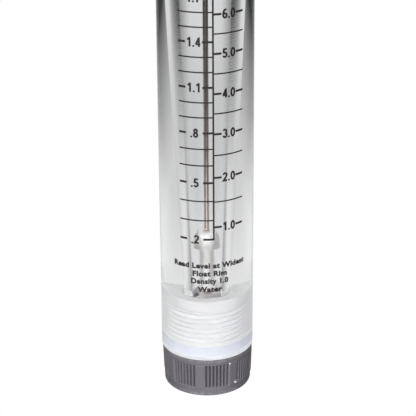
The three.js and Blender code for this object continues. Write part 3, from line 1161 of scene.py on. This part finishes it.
def bevelled_copy(node, name, width, material):
    """A welded copy of a model piece whose edges are rounded by the given width."""
    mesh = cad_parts[node].data.copy()
    mesh.name = name
    skin = bmesh.new()
    skin.from_mesh(mesh)
    bmesh.ops.remove_doubles(skin, verts=skin.verts, dist=1e-6)
    bmesh.ops.dissolve_limit(skin, angle_limit=math.radians(1), verts=skin.verts, edges=skin.edges)
    skin.to_mesh(mesh)
    skin.free()
    mesh.materials.clear()
    mesh.materials.append(material)
    piece = put_in_scene(name, mesh)
    bevel = piece.modifiers.new("rounded edges", "BEVEL")
    bevel.width = width
    bevel.segments = 3
    bevel.limit_method = "ANGLE"
    bevel.angle_limit = SHARP_ANGLE
    bevel.harden_normals = True
    smooth(piece)
    mesh.set_sharp_from_angle(angle=SHARP_ANGLE)
    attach(piece, "meter")
    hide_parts(node)
    print(name, "welded to", len(mesh.polygons), "faces")
    return piece


for side in ("lower", "upper"):
    bevelled_copy(f"{side}_rod_holder", f"{side}_holder_plate", 0.2 * MM, plate_steel)
    bevelled_copy(f"{side}_rod_nut", f"{side}_hex_nut", 0.15 * MM, plate_steel)

# %% [markdown]
# ## The end fittings
#
# A fitting is one moulded piece: a collar with groups of grip grooves and smooth raised panels
# between them, a neck for the seal, a threaded spigot, and a threaded socket for the pipe. One
# grid makes it all. The outline gives each row its radius, and each part then adds its own
# pattern to it: grooves and panels depend on the angle, and threads on angle and height. Columns
# are set where the grooves bend, so that few are needed. Heights here are measured from the
# body's end face, and + is into the body, so both ends share the outline.

# %% Sizes of a fitting
PIPE_END = fitting_low.z - BODY_BOTTOM
SPIGOT_END = fitting_high.z - BODY_BOTTOM
COLLAR_TOP = -0.3 * MM
COLLAR_RADIUS = fitting_high.x
PIPE_END_RADIUS = COLLAR_RADIUS - 0.5 * MM
RIB_BOTTOM, RIB_TOP = PIPE_END + 3.4 * MM, COLLAR_TOP - 2 * MM
PANEL_DROP = 0.45 * MM  # how far the panels reach below the grooves
NECK_RADIUS = 9.0 * MM
NECK_END = 3.1 * MM
THREAD_ROOT = SOCKET_RADIUS - THREAD_CLEARANCE - THREAD_DEPTH
PORT_RADIUS = 10.3 * MM
PORT_FLOOR = PIPE_END + 12 * MM
PORT_BEVEL = 0.6 * MM
PORT_THREAD_DEPTH = 0.85 * MM
PASSAGE_RADIUS = 6.5 * MM

PANEL_COUNT = 8
GROOVES = 7
GROOVE_PITCH = math.radians(4.8)
FIRST_GROOVE = math.radians(-1.6 - 90)
GROOVE_DEPTH = 0.9 * MM
PANEL_RISE = 0.22 * MM
RIM_RISE = 0.12 * MM
COARSE_THREAD_ROW = PITCH / 9
SECTOR = 2 * math.pi / PANEL_COUNT / GROOVE_PITCH  # one sector, in groove pitches
PANEL_MIDDLE = (GROOVES - 1 + SECTOR) / 2
PANEL_MARGIN = 0.42  # from the last groove's middle to the panel, in groove pitches
PANEL_HALF = PANEL_MIDDLE - GROOVES + 1 - PANEL_MARGIN
STEP = 0.1 * MM  # half the height over which a step in the collar rises
RUN_OUT = 0.14 * MM  # on the side of a groove's end that is in the groove

print(f"a fitting reaches from {PIPE_END / MM:.1f} to {SPIGOT_END / MM:.1f} mm")


# %% Patterns round a fitting
def ease(value, low, high):
    """0 below low and 1 above high, with a smooth step between."""
    share = np.clip((value - low) / (high - low), 0, 1)
    return share * share * (3 - 2 * share)


def groove_and_panel(angle):
    """Two masks by angle: 1 at a groove's floor, and 1 on a raised panel."""
    place = ((angle - FIRST_GROOVE) / GROOVE_PITCH) % SECTOR
    place = np.where(place > PANEL_MIDDLE, place - SECTOR, place)
    nearest = np.clip(np.round(place), 0, GROOVES - 1)
    groove = 1 - ease(np.abs(place - nearest), 0.10, 0.30)
    from_panel = np.minimum(np.abs(place - PANEL_MIDDLE), np.abs(place - PANEL_MIDDLE + SECTOR))
    panel = 1 - ease(from_panel, PANEL_HALF - 0.08, PANEL_HALF + 0.08)
    return groove, panel


def fitting_columns():
    """Angles of the columns: seven to a groove, and more where a panel starts and ends."""
    in_groove = np.array([-0.5, -0.3, -0.2, -0.1, 0.1, 0.2, 0.3])
    grooves = (np.arange(GROOVES)[:, None] + in_groove).ravel()[1:]
    edge = np.array([-0.09, 0, 0.09, 0.25])
    panel = np.concatenate([PANEL_MIDDLE - PANEL_HALF + edge, [PANEL_MIDDLE],
                            PANEL_MIDDLE + PANEL_HALF - edge[::-1]])
    sector = np.concatenate([grooves, panel])
    places = (np.arange(PANEL_COUNT)[:, None] * SECTOR + sector).ravel()
    return FIRST_GROOVE + places * GROOVE_PITCH


# %% Outline of a fitting
def collar_rows():
    """Heights of the collar's rows: close together where grooves, panels and rim begin."""
    step = np.array([-0.25, -0.12, -0.04, 0.04, 0.12, 0.3]) * MM
    plain = np.array([PIPE_END + 1.6 * MM, (RIB_BOTTOM + RIB_TOP) / 2, RIB_TOP + 1 * MM])
    groups = [RIB_BOTTOM - PANEL_DROP + step[:4], RIB_BOTTOM + step, RIB_TOP - step[::-1]]
    return np.sort(np.concatenate([plain, *groups]))


fitting_corners = [
    (PIPE_END_RADIUS, PIPE_END, 0.7 * MM, collar_rows()),
    (COLLAR_RADIUS, COLLAR_TOP, 0.22 * MM, None),
    (NECK_RADIUS, COLLAR_TOP, 0.2 * MM, None),
    (NECK_RADIUS, NECK_END - 0.6 * MM, 0.1 * MM, None),
    (THREAD_ROOT, NECK_END, 0.1 * MM, COARSE_THREAD_ROW),
    (THREAD_ROOT, SPIGOT_END, 0.3 * MM, None),
    (PASSAGE_RADIUS, SPIGOT_END, 0.4 * MM, 4 * MM),
    (PASSAGE_RADIUS, PORT_FLOOR, 0.3 * MM, None),
    (PORT_RADIUS, PORT_FLOOR, 0.3 * MM, COARSE_THREAD_ROW),
    (PORT_RADIUS, PIPE_END + PORT_BEVEL, 0.1 * MM, None),
    (PORT_RADIUS + PORT_BEVEL, PIPE_END, 0.1 * MM, None),
]


# %% Make the two fittings
def make_fitting(side, end_face, inward):
    """Fitting: outline - grooves + panels + rim, with the two threads added where they belong.

    inward is +1 at the lower end. At the upper end it is -1, and the whole is half a turn about
    X: y and z change sign. The ridge formula always reads the angle and height in the meter.
    """
    radius, height, edge = rounded_outline(fitting_corners)
    outer = (radius > NECK_RADIUS + 1 * MM) & (height <= COLLAR_TOP) & (radius > PORT_RADIUS + 2 * MM)
    spigot = (radius > PASSAGE_RADIUS + 0.6 * MM) & (height > NECK_END - 0.5 * MM)
    port = (np.abs(radius - PORT_RADIUS) < 0.3 * MM) & (height < PORT_FLOOR + 0.1 * MM)
    radius, height = radius[:, None], height[:, None]
    angle = fitting_columns()[None, :]
    groove, panel = groove_and_panel(angle)
    rim = ease(height, RIB_TOP - STEP, RIB_TOP + STEP)
    ribbed = ease(height, RIB_BOTTOM - STEP, RIB_BOTTOM + RUN_OUT)
    ribbed *= 1 - ease(height, RIB_TOP - RUN_OUT, RIB_TOP + STEP)
    raised = ease(height, RIB_BOTTOM - PANEL_DROP - STEP, RIB_BOTTOM - PANEL_DROP + STEP)
    raised *= 1 - rim
    relief = -GROOVE_DEPTH * groove * ribbed + PANEL_RISE * panel * raised + RIM_RISE * rim
    turn_angle = inward * angle
    world_height = end_face + inward * height
    helix = ridge(turn_angle, world_height)
    on_spigot = between(height, NECK_END, SPIGOT_END - 0.2 * MM, PITCH)
    in_port = between(height, PIPE_END + 0.5 * PORT_BEVEL, PORT_FLOOR - 1.5 * MM, THREAD_FADE)
    spigot_thread = THREAD_DEPTH * (1 - helix) * on_spigot
    port_thread = -PORT_THREAD_DEPTH * helix * in_port
    wall = radius + relief * outer[:, None]
    wall = wall + spigot_thread * spigot[:, None] + port_thread * port[:, None]
    points = around_axis(wall, turn_angle, world_height)
    piece = new_piece(f"{side}_ribbed_fitting", points, ring_faces(*wall.shape), grey_plastic)
    rib_edge = 4 * np.maximum(groove * (1 - groove) * ribbed, panel * (1 - panel) * raised)
    worn = np.maximum(edge[:, None], rib_edge) * outer[:, None]
    mark(piece, "edge", worn + 0 * angle)
    # the mask of the painted shade in the grip grooves
    mark(piece, "painted_groove_shade", groove * ribbed * outer[:, None])
    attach(piece, f"{side}_fitting")
    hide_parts(f"{side}_end_fitting")
    print(piece.name, "has", len(piece.data.polygons), "faces")
    return smooth(piece)


make_fitting("lower", BODY_BOTTOM, 1)
make_fitting("upper", BODY_TOP, -1)

# %% [markdown]
# ## Floor and light
#
# Clear things are drawn by what is seen through and reflected in them, so the surroundings matter
# more than lamps. The meter stands on a sheet of paper that shines by itself, and its light is
# painted on in zones: bright behind, painted dark bands to the left and right that stand in for
# black cards and give the tube its dark sides, and a painted bright strip in front that spreads
# like a fan. A Light Path node keeps all of that out of the camera's own view. The camera looks
# straight through the paper, so that the underside shows too, and sees plain white all round. Two
# soft boxes add highlights, and don't show through the tube.

# %% Floor
FLOOR_RADIUS = 1.2
FLOOR_GAP = 0.02 * MM
FLOOR_SIDES = 96
PAPER_NEAR, PAPER_MIDDLE, PAPER_FAR = 0.81, 0.64, 0.78
# the paper's glow is painted dark to both sides, where black cards would stand
PAPER_SIDE, PAINTED_DARK_BAND, PAPER_EDGE = 0.15, 0.03, 0.40
PAPER_STRIP, PAPER_FRONT, PAPER_CORNER = 0.95, 0.15, 0.16

# Where one brightness gives way to the next. Behind and ahead are distances along Y in metres,
# aside is the distance from the middle, and the fan is distance aside / distance ahead.
BEHIND_MIDDLE, BEHIND_FAR = (0.07, 0.15), (0.26, 0.40)
AHEAD_TO_BEHIND, CORNER_TO_STRIP = (-0.02, 0.05), (-0.24, -0.15)
FAN = (0.4, 1.0)
ASIDE_DIM, ASIDE_DARK_BAND, ASIDE_EDGE = (0.11, 0.33), (0.33, 0.37), (0.5, 0.8)


def make_floor():
    """A disc of paper. Its light changes in soft steps with Y, with |X|, and with |X| / |Y|."""
    circle = around_axis(FLOOR_RADIUS, full_turn(FLOOR_SIDES)[0], 0)
    points = np.vstack([circle, (0, 0, 0)]) - (0, 0, FLOOR_GAP)
    around = np.arange(FLOOR_SIDES)
    middle = np.full(FLOOR_SIDES, FLOOR_SIDES)
    faces = np.stack([around, (around + 1) % FLOOR_SIDES, middle], 1)
    material = bpy.data.materials.new("studio_paper")
    material.use_nodes = True
    tree = material.node_tree
    split = tree.nodes.new("ShaderNodeSeparateXYZ")
    tree.links.new(object_place(tree), split.inputs[0])
    along = split.outputs["Y"]
    aside = math_node(tree, "ABSOLUTE", split.outputs["X"])
    fan = math_node(tree, "DIVIDE", aside, math_node(tree, "ABSOLUTE", along))
    near = mixed(tree, remap(tree, along, *BEHIND_MIDDLE), PAPER_NEAR, PAPER_MIDDLE)
    behind = mixed(tree, remap(tree, along, *BEHIND_FAR), near, PAPER_FAR)
    strip = mixed(tree, remap(tree, fan, *FAN), PAPER_STRIP, PAPER_FRONT)
    ahead = mixed(tree, remap(tree, along, *CORNER_TO_STRIP), PAPER_CORNER, strip)
    light = mixed(tree, remap(tree, along, *AHEAD_TO_BEHIND), ahead, behind)
    light = mixed(tree, remap(tree, aside, *ASIDE_DIM), light, PAPER_SIDE)
    # painted dark bands in the paper's glow, in place of black cards
    light = mixed(tree, remap(tree, aside, *ASIDE_DARK_BAND), light, PAINTED_DARK_BAND)
    light = mixed(tree, remap(tree, aside, *ASIDE_EDGE), light, PAPER_EDGE)
    paper = tree.nodes.new("ShaderNodeEmission")
    tree.links.new(light, paper.inputs["Strength"])
    path = tree.nodes.new("ShaderNodeLightPath")
    clear = tree.nodes.new("ShaderNodeBsdfTransparent")
    either = tree.nodes.new("ShaderNodeMixShader")
    tree.links.new(path.outputs["Is Camera Ray"], either.inputs[0])
    tree.links.new(paper.outputs[0], either.inputs[1])
    tree.links.new(clear.outputs[0], either.inputs[2])
    tree.links.new(either.outputs[0], tree.nodes["Material Output"].inputs["Surface"])
    tree.nodes.remove(tree.nodes["Principled BSDF"])
    piece = new_piece("studio_floor", points, faces, material)
    print("the paper is", 2 * FLOOR_RADIUS, "m across")


make_floor()

# %% Surroundings
OVERHEAD = 0.7
HORIZON_BACK = 0.50
HORIZON_SIDE = 0.22
HORIZON_FRONT = 0.40
CAMERA_WHITE = 1.0
FRONT_TO_BACK = (-0.6, 0.8)  # of the direction's Y
TO_THE_SIDES = (0.1, 0.8)  # of the square of the direction's X
TO_OVERHEAD = (0.15, 0.75)  # of the direction's Z


def make_surroundings():
    """Brightness by direction: at eye level back to front by Y and darker by X, bright above."""
    world = bpy.data.worlds.new("studio")
    world.use_nodes = True
    bpy.context.scene.world = world
    tree = world.node_tree
    place = tree.nodes.new("ShaderNodeTexCoord")
    split = tree.nodes.new("ShaderNodeSeparateXYZ")
    tree.links.new(place.outputs["Generated"], split.inputs[0])
    backward = remap(tree, split.outputs["Y"], *FRONT_TO_BACK)
    front_to_back = mixed(tree, backward, HORIZON_FRONT, HORIZON_BACK)
    aside = math_node(tree, "MULTIPLY", split.outputs["X"], split.outputs["X"])
    level_light = mixed(tree, remap(tree, aside, *TO_THE_SIDES), front_to_back, HORIZON_SIDE)
    upward = remap(tree, split.outputs["Z"], *TO_OVERHEAD)
    light = mixed(tree, upward, level_light, OVERHEAD)
    path = tree.nodes.new("ShaderNodeLightPath")
    shown = mixed(tree, path.outputs["Is Camera Ray"], light, CAMERA_WHITE)
    background = tree.nodes["Background"]
    tree.links.new(shown, background.inputs["Strength"])
    background.inputs["Color"].default_value = (1, 1, 1, 1)


def add_lamp(name, place, target, size, power):
    """A square soft box that shines from its place towards its target."""
    lamp = bpy.data.lights.new(name, "AREA")
    lamp.shape = "SQUARE"
    lamp.size = size
    lamp.energy = power
    holder = put_in_scene(name, lamp)
    holder.location = place
    holder.rotation_mode = "QUATERNION"
    holder.rotation_quaternion = (Vector(target) - Vector(place)).to_track_quat("-Z", "Y")
    holder.visible_camera = False
    holder.visible_transmission = False


make_surroundings()
add_lamp("soft box in front", (-0.12, -0.75, 0.5), target=(0, 0, 0.06), size=0.3, power=14.0)
add_lamp("soft box above", (0.1, 0.1, 0.9), target=(0, 0, 0), size=0.6, power=4.0)
bpy.context.scene.view_settings.view_transform = "Standard"
print("lamps:", [lamp.name for lamp in bpy.data.lights])
